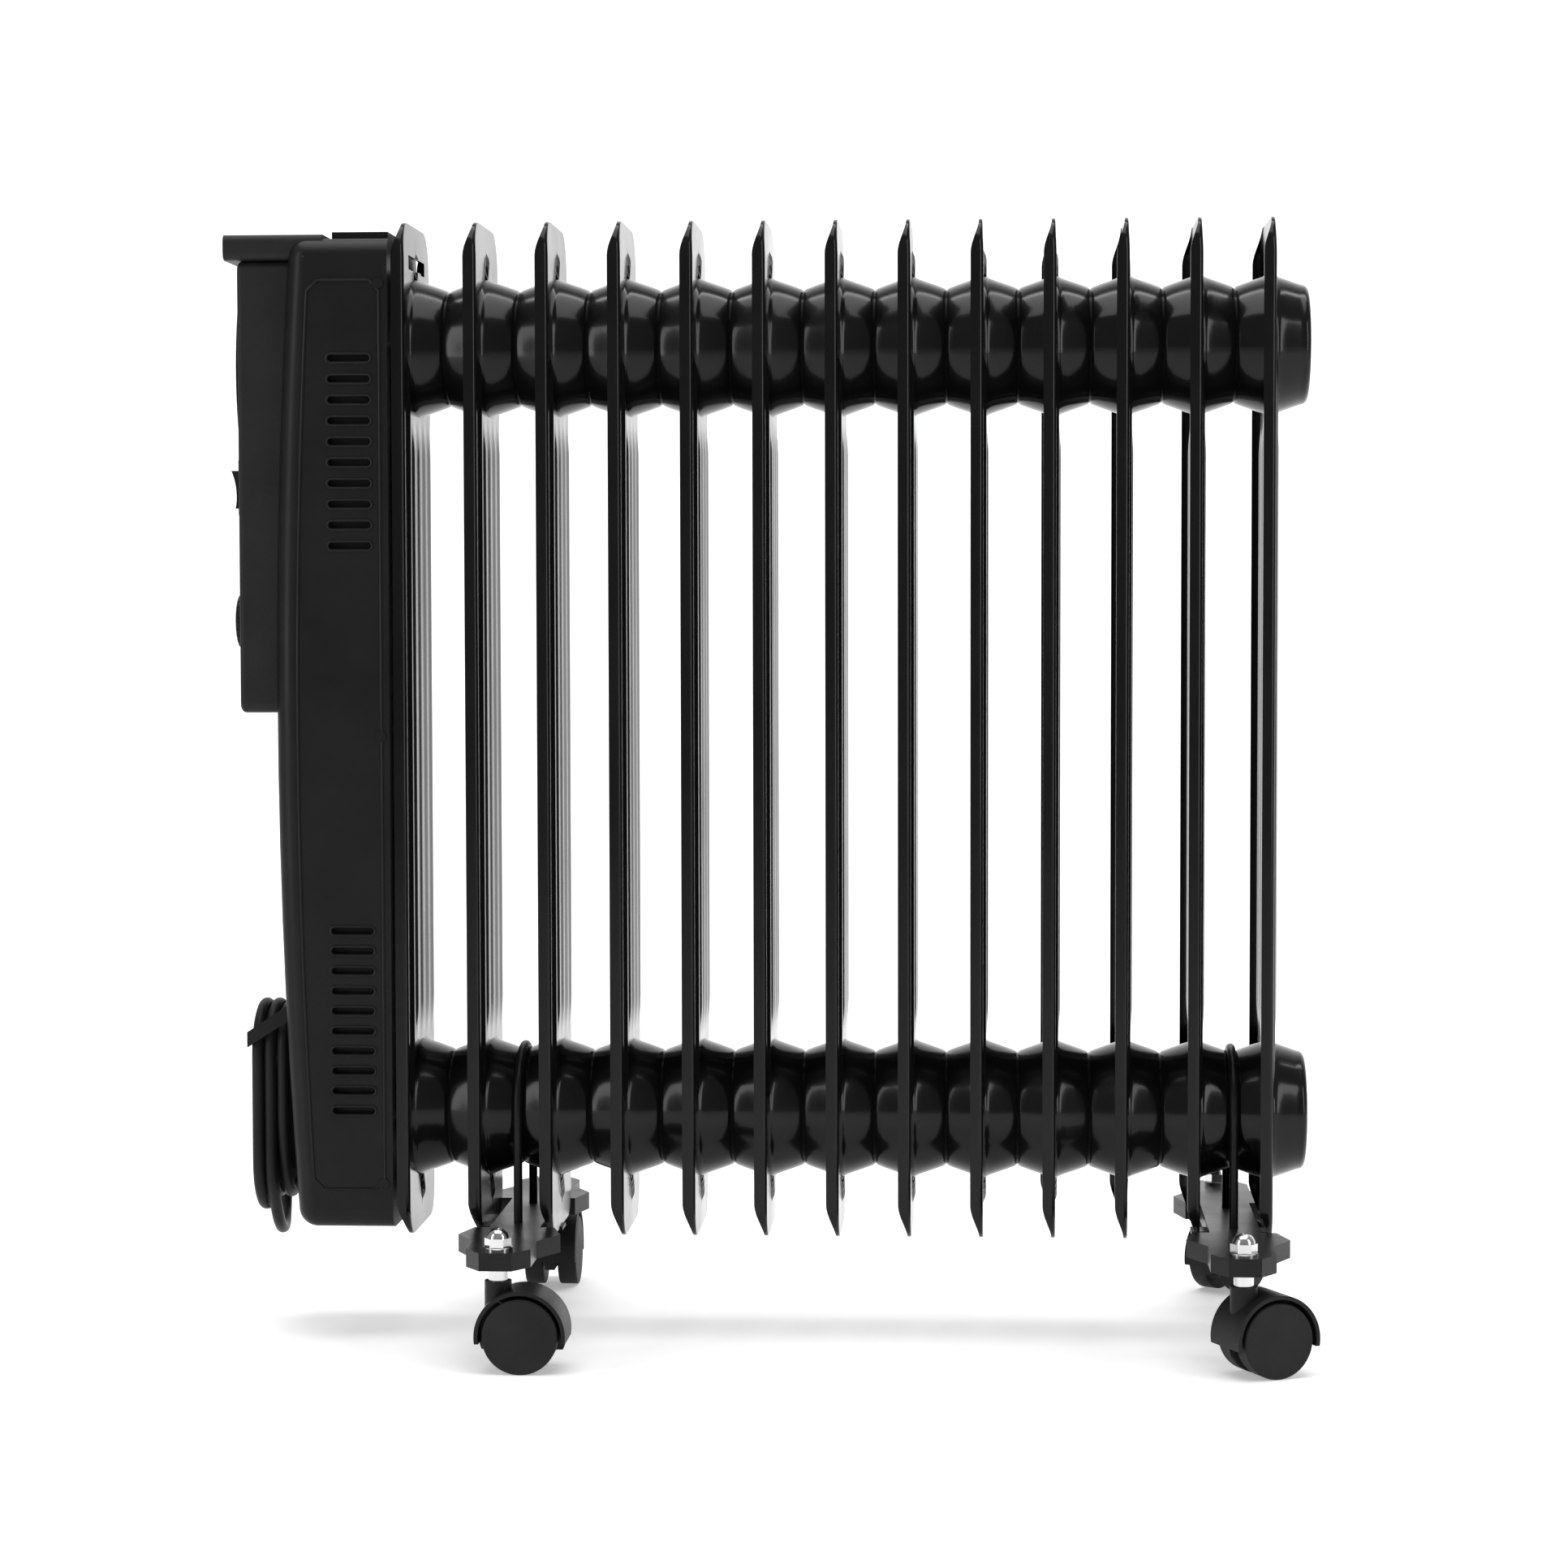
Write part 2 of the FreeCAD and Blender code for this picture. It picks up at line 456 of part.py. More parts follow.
def bent_tube(points, diameter, corner):
    """A round tube along straight runs joined by tangent arcs. Returns the solid and its radii."""
    edges, radii, at = [], [], points[0]
    for before, here, after in zip(points, points[1:], points[2:]):
        into, out = (here - before), (after - here)
        turn = into.getAngle(out)
        radius = corner * min(into.Length, out.Length) / math.tan(turn / 2)
        cut = radius * math.tan(turn / 2)
        u, w = V(into).normalize(), V(out).normalize()
        a, b = here - u * cut, here + w * cut
        inward = (w - u).normalize()
        middle = here + inward * (radius / math.cos(turn / 2) - radius)
        if (a - at).Length > 1e-6:
            edges.append(Part.LineSegment(at, a).toShape())
        edges.append(Part.Arc(a, middle, b).toShape())
        radii.append(radius)
        at = b
    edges.append(Part.LineSegment(at, points[-1]).toShape())
    path = Part.Wire(edges)
    ring = Part.Wire([Part.makeCircle(diameter / 2, points[0], points[1] - points[0])])
    tube = path.makePipeShell([ring], True, False)
    expected = math.pi * diameter ** 2 / 4 * path.Length
    print(f"tube volume / section x length = {tube.Volume / expected:.4f}, length {path.Length:.1f}, "
          f"radii {[round(r, 1) for r in radii]}")
    return tube


WIRE = 2.4
wires = []
for y in (-10, 10):
    foot, rise = BLOCK_Z + 18, KNOB_Z - 17 - BLOCK_Z - 18
    wires.append(bent_tube([V(WALL_X - 16, y, foot), V(WALL_X - 20, y, foot + 0.16 * rise),
                            V(WALL_X - 26, y * 1.5, foot + 0.43 * rise), V(WALL_X - 26, y * 1.8, foot + 0.66 * rise),
                            V(WALL_X - 24, y * 1.4, foot + rise)], WIRE, 0.45))
for wire, y in zip(wires, (-10, 10)):
    wire.translate(V(4, 0, 0))
keep("wiring", *wires)

# ---- screws ----
screws = [rod(x, -BOX_HALF_DEPTH - 1.0, z, 3.0, 1.0, (0, 1, 0)) for x in (BOX_RIGHT - 5,)
          for z in (BOX_BOTTOM + 26, (BOX_BOTTOM + BOX_TOP) / 2, BOX_TOP - 26)]
screws += [rod(x, BOX_HALF_DEPTH, z, 3.0, 1.0, (0, 1, 0)) for x in (BOX_RIGHT - 5,)
           for z in (BOX_BOTTOM + 26, (BOX_BOTTOM + BOX_TOP) / 2, BOX_TOP - 26)]
keep("casing_screws", *screws)


# ---- feet ----
def foot_outline(grow):
    """Half of the foot's plan, from the middle of its right side to its front end."""
    waist, wing, end = FOOT_HALF_WAIST + grow, FOOT_HALF_WING + grow, FOOT_HALF_END + grow
    return [(waist, 0), (waist, WING_FROM - grow), (wing - 6, WING_FROM - grow), (wing, WING_TIP),
            (end, WING_TO + grow), (end, FOOT_LENGTH / 2 - 14 + grow / 2), (end - 9, FOOT_LENGTH / 2 + grow)]


def foot_block(x, grow, z0, z1):
    quarter = foot_outline(grow)
    right = [(px, py) for px, py in quarter]
    left = [(-px, py) for px, py in reversed(quarter)]
    front = [(-px, -py) for px, py in quarter[1:]]
    back = [(px, -py) for px, py in reversed(quarter[1:])]
    return prism([(x + px, py, z0) for px, py in right + left + front + back], (0, 0, z1 - z0))


def make_foot(x):
    """A pressed plate with its edge turned down all round, and a ledge that two fins stand on."""
    plate = foot_block(x, 0, FOOT_TOP - FOOT_FLANGE, FOOT_TOP)
    plate = plate.cut(foot_block(x, -FOOT_SHEET, FOOT_TOP - FOOT_FLANGE - 1, FOOT_TOP - FOOT_SHEET))
    leg = HEADER_WAIST + UBOLT_SEAT + UBOLT_ROD / 2
    for side in (-1, 1):
        plate = plate.cut(rod(x, side * leg, FOOT_TOP - 30, UBOLT_ROD / 2 + 0.25, 60))
        plate = plate.cut(rod(x, side * STEM_SPACING / 2, FOOT_TOP - 30, STEM_DIAMETER / 2 + 0.1, 60))
    ledge = box(x - FIN_PITCH / 2 - 2, x + FIN_PITCH / 2 + 2, -8, 8, FIN_BOTTOM - FOOT_SHEET, FIN_BOTTOM)
    return plate.fuse(ledge).removeSplitter()


def make_ubolt(x):
    """A round rod bent over the header's waist; both legs go down through the foot."""
    radius = HEADER_WAIST + UBOLT_SEAT + UBOLT_ROD / 2
    ring = Part.makeTorus(radius, UBOLT_ROD / 2, V(x, 0, LOWER_Z), V(1, 0, 0))
    arch = ring.common(box(x - 10, x + 10, -60, 60, LOWER_Z, LOWER_Z + 60))
    bottom = FOOT_TOP - FOOT_SHEET - NUT_STACK
    legs = [rod(x, side * radius, bottom, UBOLT_ROD / 2, LOWER_Z - bottom) for side in (-1, 1)]
    return arch.fuse(legs).removeSplitter()


def wing_nut(x, y, top):
    """A round boss with two upright ears, threaded on a U-bolt leg under the foot."""
    boss = rod(x, y, top - 6, 5.0, 6)
    ears = box(x - 12, x + 12, y - 1.0, y + 1.0, top - 9, top - 1.5)
    ears = ears.makeFillet(3.0, [e for e in ears.Edges if abs(e.Vertexes[0].Y - e.Vertexes[1].Y) > 1.5])
    nut = boss.fuse(ears)
    return nut.cut(rod(x, y, top - 20, UBOLT_ROD / 2, 30)).removeSplitter()


def hex_prism(x, y, z, across, height):
    r = across / math.sqrt(3)
    return prism([(x + r * math.cos(math.radians(60 * i)), y + r * math.sin(math.radians(60 * i)), z)
                  for i in range(6)], (0, 0, height))


NUT_FLANGE_R = 8.0
nuts, ubolt_nuts, stems = [], [], []
keep("feet", *[make_foot(x) for x in FOOT_X.values()])
keep("u_bolts", *[make_ubolt(x) for x in FOOT_X.values()])
for x in FOOT_X.values():
    radius = HEADER_WAIST + UBOLT_SEAT + UBOLT_ROD / 2
    ubolt_nuts += [wing_nut(x, s * radius, FOOT_TOP - FOOT_SHEET) for s in (-1, 1)]
keep("wing_nuts", *ubolt_nuts)


# ---- casters ----
def turned(shape, x, y, turn):
    shape.rotate(V(x, y, 0), V(0, 0, 1), turn)
    return shape


def make_hood(x, y):
    """Drawn trailing towards +X: a curved hood over both wheels, a web between them and a stem collar."""
    wx, half = x + TRAIL, WHEEL_WIDTH + WHEEL_GAP / 2
    shell = rod(wx, y - half, WHEEL_RADIUS, HOOD_RADIUS, 2 * half, (0, 1, 0))
    shell = shell.cut(rod(wx, y - half - 1, WHEEL_RADIUS, HOOD_RADIUS - HOOD_WALL, 2 * half + 2, (0, 1, 0)))
    shell = shell.cut(box(wx - 60, wx + 60, y - 60, y + 60, -40, WHEEL_RADIUS - 4))
    web = rod(wx, y - HOOD_WEB / 2, WHEEL_RADIUS, HOOD_RADIUS - 1, HOOD_WEB, (0, 1, 0))
    web = web.cut(box(wx - 60, wx + 60, y - 60, y + 60, -40, WHEEL_RADIUS - 9))
    collar = rod(x, y, WHEEL_RADIUS + 3, COLLAR_RADIUS, COLLAR_TOP - WHEEL_RADIUS - 3)
    clear = [rod(wx, y + s * (HOOD_WEB / 2 + (half - HOOD_WEB / 2) / 2) - (half - HOOD_WEB / 2) / 2, WHEEL_RADIUS,
                 HOOD_RADIUS - HOOD_WALL, half - HOOD_WEB / 2, (0, 1, 0)) for s in (-1, 1)]
    collar = collar.cut(clear[0]).cut(clear[1])
    hood = shell.fuse([web, collar]).removeSplitter()
    hood = hood.cut(rod(x, y, COLLAR_TOP - STEM_DEPTH, STEM_DIAMETER / 2 + RUNNING, 40))
    return hood.cut(rod(wx, y - 30, WHEEL_RADIUS, AXLE_DIAMETER / 2 + RUNNING, 60, (0, 1, 0)))


def make_wheel(x, y, outward):
    """A solid moulded wheel, dished on its outer face, drilled for the axle."""
    wx = x + TRAIL
    inner = y + outward * WHEEL_GAP / 2
    start = inner if outward > 0 else inner - WHEEL_WIDTH
    wheel = rod(wx, start, WHEEL_RADIUS, WHEEL_RADIUS, WHEEL_WIDTH, (0, 1, 0))
    rims = [e for e in wheel.Edges if abs(e.BoundBox.YMin - e.BoundBox.YMax) < 1e-4]
    wheel = wheel.makeFillet(1.2, rims)
    bore = rod(wx, inner, WHEEL_RADIUS, AXLE_DIAMETER / 2, WHEEL_WIDTH - 3, (0, outward, 0))
    return wheel.cut(bore)


for corner, (side, way) in CORNERS.items():
    x, y, turn = FOOT_X[side], way * STEM_SPACING / 2, CASTER_TURNS[corner]
    keep(f"{corner}_hood", turned(make_hood(x, y), x, y, turn))
    keep(f"{corner}_wheels", turned(make_wheel(x, y, -1), x, y, turn), turned(make_wheel(x, y, 1), x, y, turn))
    span = WHEEL_GAP / 2 + WHEEL_WIDTH - 3
    keep(f"{corner}_axle", turned(rod(x + TRAIL, y - span, WHEEL_RADIUS, AXLE_DIAMETER / 2, 2 * span, (0, 1, 0)), x, y, turn))
    foot_of_stem = COLLAR_TOP - STEM_DEPTH + 0.5
    stem = rod(x, y, foot_of_stem, STEM_DIAMETER / 2, FOOT_TOP + 6 - foot_of_stem)
    shoulder = rod(x, y, COLLAR_TOP + 0.4, 5.5, FOOT_TOP - FOOT_SHEET - COLLAR_TOP - 0.4)
    stems.append(stem.fuse(shoulder).removeSplitter())
    nut = rod(x, y, FOOT_TOP, NUT_FLANGE_R, 1.6).fuse(hex_prism(x, y, FOOT_TOP, 13.0, 6.5))
    dome = Part.makeSphere(6.3, V(x, y, FOOT_TOP + 6.0)).common(box(x - 9, x + 9, y - 9, y + 9, FOOT_TOP + 6.0, FOOT_TOP + 20))
    nuts.append(nut.fuse(dome).cut(rod(x, y, FOOT_TOP - 1, STEM_DIAMETER / 2, 7)).removeSplitter())
keep("caster_stems", *stems)
keep("dome_nuts", *nuts)

# ---- cord: a bush in the box, a cleat, the wound hank with its strap, and the plug ----
HANK_X = box_face(HANK_TOP) - HANK_STANDOFF - HANK_THICK / 2
PLUG_Y = 45.5
PLUG_Z = 124.0             # underside of the plug's body; it hangs with its pins down
STRAP_END = 12.0


def upright_oval(x0, x1, half, z0, z1):
    """A block along X whose outline is a tall slot with round ends."""
    middle = box(x0, x1, -half, half, z0 + half, z1 - half)
    ends = [rod(x0, 0, z, half, x1 - x0, (1, 0, 0)) for z in (z0 + half, z1 - half)]
    return middle.fuse(ends).removeSplitter()


hank_outer = upright_oval(HANK_X - HANK_THICK / 2, HANK_X + HANK_THICK / 2, HANK_HALF, HANK_BOTTOM, HANK_TOP)
band = HANK_HALF - HANK_EYE
hank_eye = upright_oval(HANK_X - 40, HANK_X + 40, HANK_EYE, HANK_BOTTOM + band, HANK_TOP - band)
exit_x = box_face(BUSH_Z)
low_x = exit_x - 21
lead = bent_tube([V(exit_x + 8, BUSH_Y, BUSH_Z), V(low_x, BUSH_Y, BUSH_Z), V(low_x, BUSH_Y - 3, 66),
                  V(low_x + 3, 19, 54.5), V(HANK_X, -2, 55), V(HANK_X, -17, 80)], CORD, 0.45)
tail = bent_tube([V(HANK_X, 14, 186), V(HANK_X, 36, 181), V(HANK_X, PLUG_Y, 168),
                  V(HANK_X, PLUG_Y, PLUG_Z + PLUG_LENGTH - 8)], CORD, 0.45)
keep("cord", lead, tail)
keep("cord_hank", hank_outer.cut(hank_eye).cut(lead).cut(tail))
bush = rod(exit_x - 1.6, BUSH_Y, BUSH_Z, BUSH_RADIUS, 2.4, (1, 0, 0))
bush = bush.fuse(Part.makeCone(CORD / 2 + 0.8, BUSH_NECK, 5.0, V(exit_x - 6.0, BUSH_Y, BUSH_Z), V(1, 0, 0)))
bush = bush.cut(box_form(0)).fuse(rod(exit_x - 1, BUSH_Y, BUSH_Z, BUSH_NECK, 5, (1, 0, 0)))
keep("cord_bush", bush.cut(lead).removeSplitter())
posts = box(HANK_X - HANK_THICK / 2 - 1, HANK_X + 60, -7, 7, HANK_TOP - band - 14, HANK_TOP - band - 4)
posts = posts.fuse(box(HANK_X - HANK_THICK / 2 - 3, HANK_X + 60, -7, 7, HANK_BOTTOM + band + 4, HANK_BOTTOM + band + 14))
posts = posts.fuse(box(HANK_X + 3, HANK_X + 60, -7, 7, HANK_BOTTOM + band + 4, HANK_TOP - band - 4))
posts = posts.cut(box(box_face(BOX_BELLY) + 5, BOX_RIGHT + 40, -9, 9, 0, 300)).cut(box_form(0))
keep("cord_cleat", max(posts.Solids, key=lambda s: s.Volume))
strap_in, strap_out = box_face(HANK_TOP), HANK_X - HANK_THICK / 2 - STRAP_THICK
slope = 22.0              # how far the strap comes down from the box to its outer end
strap = prism([(strap_in + 8, -HANK_HALF - STRAP_THICK, HANK_TOP - 4), (strap_out, -HANK_HALF - STRAP_THICK, HANK_TOP - 4 - slope),
               (strap_out, -HANK_HALF - STRAP_THICK, HANK_TOP - 4 - slope + STRAP_WIDTH),
               (strap_in + 8, -HANK_HALF - STRAP_THICK, HANK_TOP - 4 + STRAP_WIDTH)],
              (0, HANK_HALF + STRAP_THICK + STRAP_END, 0))
hank_block = box(HANK_X - HANK_THICK / 2, HANK_X + 60, -HANK_HALF, HANK_HALF, HANK_BOTTOM, HANK_TOP + 60)
keep("cord_strap", strap.cut(hank_block).cut(box_form(0)).cut(posts))
plug = rod(HANK_X, PLUG_Y, PLUG_Z, PLUG_RADIUS, PLUG_LENGTH)
plug = plug.makeFillet(3.0, [e for e in plug.Edges if abs(e.BoundBox.ZMin - PLUG_Z) < 1e-4 and e.BoundBox.ZLength < 1e-4])
plug = plug.fuse(Part.makeCone(7.0, CORD / 2 + 0.8, PLUG_BOOT, V(HANK_X, PLUG_Y, PLUG_Z + PLUG_LENGTH - 0.5), V(0, 0, 1)))
PIN_ROOT = 6.0             # how far each pin is moulded into the plug
pin_x = [HANK_X + s * PIN_SPACING / 2 for s in (-1, 1)]
prongs = [rod(x, PLUG_Y, PLUG_Z - PIN_LENGTH, PIN_RADIUS, PIN_LENGTH + PIN_ROOT) for x in pin_x]
keep("plug_pins", *prongs)
keep("plug", plug.cut(prongs[0]).cut(prongs[1]).cut(tail).removeSplitter())

# ---- write every node ----
os.makedirs("parts", exist_ok=True)
for name, shape in parts.items():
    shape.exportStep(f"parts/{name}.step")
everything = Part.makeCompound(list(parts.values()))
b = everything.BoundBox
print(f"{len(parts)} nodes, {b.XLength:.1f} x {b.YLength:.1f} x {b.ZLength:.1f} mm")
for name, shape in parts.items():
    if not shape.isValid() or len(shape.Solids) == 0:
        print("not valid:", name)
    print(name, len(shape.Solids), f"{shape.Volume:.0f}") if not name.startswith("fin_") else None
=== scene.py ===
import json
import math

import bpy
import numpy as np
from mathutils import Matrix, Vector


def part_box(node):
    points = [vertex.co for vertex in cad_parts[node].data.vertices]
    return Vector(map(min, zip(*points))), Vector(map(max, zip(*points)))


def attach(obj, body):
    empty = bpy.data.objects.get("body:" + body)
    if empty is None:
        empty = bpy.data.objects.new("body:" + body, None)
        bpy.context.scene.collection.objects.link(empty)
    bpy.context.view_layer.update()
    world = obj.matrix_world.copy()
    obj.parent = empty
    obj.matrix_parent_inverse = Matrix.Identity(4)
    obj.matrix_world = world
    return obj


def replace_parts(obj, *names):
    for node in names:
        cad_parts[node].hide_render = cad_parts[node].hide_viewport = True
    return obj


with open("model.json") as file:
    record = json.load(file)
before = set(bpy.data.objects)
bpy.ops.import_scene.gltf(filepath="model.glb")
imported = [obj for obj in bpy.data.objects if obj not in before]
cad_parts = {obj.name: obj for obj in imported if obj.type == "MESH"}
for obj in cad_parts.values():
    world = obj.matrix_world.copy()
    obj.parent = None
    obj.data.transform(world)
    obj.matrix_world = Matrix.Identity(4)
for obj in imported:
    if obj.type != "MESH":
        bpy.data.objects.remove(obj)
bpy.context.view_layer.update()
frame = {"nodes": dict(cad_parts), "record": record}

nodes = frame["nodes"]
MM = 0.001


# ---- Materials: painted steel, moulded plastic, bright metal and rubber, each with its own fine grain ----
# Every finish is procedural and reads Object coordinates, so a pattern keeps its size on every piece.
def grain_group():
    """A node group that turns a position into a roughness that wanders and a slightly uneven normal."""
    group = bpy.data.node_groups.new("surface_grain", "ShaderNodeTree")
    face = group.interface
    face.new_socket("Vector", in_out="INPUT", socket_type="NodeSocketVector")
    for name in ("Grain Scale", "Rough Low", "Rough High", "Bump"):
        face.new_socket(name, in_out="INPUT", socket_type="NodeSocketFloat")
    face.new_socket("Roughness", in_out="OUTPUT", socket_type="NodeSocketFloat")
    face.new_socket("Normal", in_out="OUTPUT", socket_type="NodeSocketVector")
    tree, link = group.nodes, group.links
    entry, leave = tree.new("NodeGroupInput"), tree.new("NodeGroupOutput")
    wear, fine = tree.new("ShaderNodeTexNoise"), tree.new("ShaderNodeTexNoise")
    wear.inputs["Scale"].default_value = 14.0
    wear.inputs["Detail"].default_value = 5.0
    fine.inputs["Detail"].default_value = 3.0
    spread, bump = tree.new("ShaderNodeMapRange"), tree.new("ShaderNodeBump")
    spread.inputs["From Min"].default_value = 0.35
    spread.inputs["From Max"].default_value = 0.65
    bump.inputs["Distance"].default_value = 0.0004
    for noise in (wear, fine):
        link.new(entry.outputs["Vector"], noise.inputs["Vector"])
    link.new(entry.outputs["Grain Scale"], fine.inputs["Scale"])
    link.new(wear.outputs["Fac"], spread.inputs["Value"])
    link.new(entry.outputs["Rough Low"], spread.inputs["To Min"])
    link.new(entry.outputs["Rough High"], spread.inputs["To Max"])
    link.new(fine.outputs["Fac"], bump.inputs["Height"])
    link.new(entry.outputs["Bump"], bump.inputs["Strength"])
    link.new(spread.outputs["Result"], leave.inputs["Roughness"])
    link.new(bump.outputs["Normal"], leave.inputs["Normal"])
    return group


GRAIN = grain_group()
# Every finish shares these two. Both are lower than real paint or plastic has, to keep the blacks dark.
SHINE, REFRACTION = 0.3, 1.35


def finish_of(name, dark, light, rough, grain, bump, metallic=0.0, coat=0.0, glow=0.0):
    """A Principled finish whose colour drifts between dark and light and whose grain is grain per metre."""
    made = bpy.data.materials.new(name)
    made.use_nodes = True
    tree, link = made.node_tree.nodes, made.node_tree.links
    shader = tree["Principled BSDF"]
    shader.inputs["Metallic"].default_value = metallic
    shader.inputs["Coat Weight"].default_value = coat
    shader.inputs["Specular IOR Level"].default_value = SHINE
    shader.inputs["IOR"].default_value = REFRACTION
    shader.inputs["Emission Color"].default_value = (1, 1, 1, 1)
    shader.inputs["Emission Strength"].default_value = glow
    shader.inputs["Coat Roughness"].default_value = 0.08
    where, group = tree.new("ShaderNodeTexCoord"), tree.new("ShaderNodeGroup")
    group.node_tree = GRAIN
    for socket, value in zip(("Grain Scale", "Rough Low", "Rough High", "Bump"), (grain, *rough, bump)):
        group.inputs[socket].default_value = value
    drift, ramp = tree.new("ShaderNodeTexNoise"), tree.new("ShaderNodeValToRGB")
    drift.inputs["Scale"].default_value = 30.0
    drift.inputs["Detail"].default_value = 4.0
    ramp.color_ramp.elements[0].color = (*dark, 1)
    ramp.color_ramp.elements[1].color = (*light, 1)
    ramp.color_ramp.elements[0].position = 0.35
    ramp.color_ramp.elements[1].position = 0.7
    link.new(where.outputs["Object"], group.inputs["Vector"])
    link.new(where.outputs["Object"], drift.inputs["Vector"])
    link.new(drift.outputs["Fac"], ramp.inputs["Fac"])
    link.new(ramp.outputs["Color"], shader.inputs["Base Color"])
    link.new(group.outputs["Roughness"], shader.inputs["Roughness"])
    link.new(group.outputs["Normal"], shader.inputs["Normal"])
    return made


def grey(value, warm=1.0):
    return (value * warm, value, value)


FINISHES = {
    "fin_paint": finish_of("gloss black enamel", grey(0.004), grey(0.006), (0.14, 0.22), 260, 0.06, coat=0.12),
    "box_paint": finish_of("satin black enamel", grey(0.006), grey(0.008), (0.36, 0.46), 900, 0.12),
    "foot_paint": finish_of("black enamel on feet", grey(0.008), grey(0.014), (0.28, 0.42), 500, 0.20),
    "inner_steel": finish_of("zinc plated sheet", grey(0.42), grey(0.58), (0.3, 0.45), 300, 0.15, 1.0),
    "element_sheath": finish_of("element sheath", grey(0.16, 1.1), grey(0.26, 1.1), (0.4, 0.55), 400, 0.2, 1.0),
    "panel_plastic": finish_of("black moulded panel", grey(0.011), grey(0.015), (0.46, 0.58), 1500, 0.35),
    "fascia_gloss": finish_of("smooth black fascia", grey(0.008), grey(0.010), (0.22, 0.30), 700, 0.06),
    "switch_plastic": finish_of("black switch frame", grey(0.010), grey(0.014), (0.36, 0.46), 1200, 0.2),
    "rocker_plastic": finish_of("black rocker", grey(0.012), grey(0.018), (0.28, 0.36), 900, 0.1),
    "knob_plastic": finish_of("black knob", grey(0.011), grey(0.016), (0.36, 0.48), 1200, 0.25),
    "lamp_lens": finish_of("amber lens", (0.34, 0.05, 0.01), (0.45, 0.08, 0.02), (0.08, 0.14), 300, 0.05),
    "bright_steel": finish_of("bright plated steel", grey(0.62), grey(0.74), (0.10, 0.22), 400, 0.06, 1.0),
    "inner_plastic": finish_of("cream moulding", grey(0.48, 1.1), grey(0.58, 1.1), (0.45, 0.6), 600, 0.2),
    "wire_insulation": finish_of("wire insulation", (0.22, 0.07, 0.03), (0.3, 0.1, 0.04), (0.4, 0.5), 600, 0.1),
    "caster_nylon": finish_of("black caster nylon", grey(0.010), grey(0.015), (0.38, 0.50), 1400, 0.35),
    "wheel_nylon": finish_of("black wheel nylon", grey(0.012), grey(0.019), (0.44, 0.60), 1000, 0.35),
    "cord_jacket": finish_of("black cord jacket", grey(0.008), grey(0.012), (0.40, 0.52), 1100, 0.25),
    "cleat_plastic": finish_of("black cleat", grey(0.010), grey(0.014), (0.42, 0.55), 1200, 0.3),
    "brass_pins": finish_of("brass pins", (0.58, 0.42, 0.16), (0.68, 0.5, 0.22), (0.2, 0.32), 500, 0.08, 1.0),
    "marking_white": finish_of("white marking ink", grey(0.62), grey(0.70), (0.5, 0.6), 900, 0.1),
}


def dress(obj, finish):
    """Gives an object one finish, on the object and not on its mesh."""
    if not obj.material_slots:
        obj.data.materials.append(None)
    for slot in obj.material_slots:
        slot.link = "OBJECT"
        slot.material = FINISHES[finish]


for part in frame["record"]["subparts"]:
    dress(nodes[part["node"]], part["material_slot"])


def new_piece(name, vertices, faces, finish, body="heater", crease=0.6):
    """A finished mesh piece: smooth shaded with sharp edges over crease radians, riding on a body."""
    mesh = bpy.data.meshes.new(name)
    mesh.from_pydata([tuple(v) for v in vertices], [], [tuple(f) for f in faces])
    mesh.polygons.foreach_set("use_smooth", [True] * len(mesh.polygons))
    mesh.set_sharp_from_angle(angle=crease)
    mesh.update()
    piece = bpy.data.objects.new(name, mesh)
    bpy.context.scene.collection.objects.link(piece)
    dress(piece, finish)
    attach(piece, body)
    return piece


def node_box(name):
    low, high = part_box(name)
    return Vector(low), Vector(high)


def grid_faces(rows, columns, wrap_columns=True):
    """Quads of a grid of points numbered row by row; the last column joins the first if wrapped."""
    r = np.arange(rows - 1)[:, None]
    c = np.arange(columns if wrap_columns else columns - 1)[None, :]
    d = (c + 1) % columns
    quads = np.stack([r * columns + c, r * columns + d, (r + 1) * columns + d, (r + 1) * columns + c], axis=-1)
    return quads.reshape(-1, 4)


# ---- Fins: each is two pressed steel sheets welded together, with folded edges and gloss black enamel ----
# The sheets swell over the oil channels, and the top edge leans a little. The fin beside the control box
# also has an air slot under its top edge.
FIN_T = 1.6
FIN_EDGE = 7.3
FIN_HALF = 50.0
FIN_ROUND = 18.0
FIN_LOW, FIN_HIGH = 60.0, 640.0
HEADERS = (130.0, 570.0)
SLOT_LOW, SLOT_HIGH, SLOT_HALF = 614.0, 622.0, 31.0
PLATE = 90
CHANNEL_STAND = 2.4


def smooth(low, high, value):
    t = np.clip((value - low) / (high - low), 0, 1)
    return t * t * (3 - 2 * t)


def swell(y, z):
    """How far each sheet stands out at (y, z): a shallow oil cavity with pointed ends, ribbed by upright flutes."""
    past = np.maximum(np.maximum(HEADERS[0] - z, z - HEADERS[1]), 0)
    width = 41.0 * np.clip(1 - past / 56.0, 0, 1)
    cavity = 1.7 * smooth(0.0, 3.5, width - np.abs(y))
    between = smooth(HEADERS[0] + 40, HEADERS[0] + 62, z) * smooth(HEADERS[1] - 40, HEADERS[1] - 62, z)
    flutes = 1.2 * (0.5 - 0.5 * np.cos(2 * np.pi * (y - 2.5) / 20.0)) * smooth(38.0, 30.0, np.abs(y)) * between
    return cavity + flutes


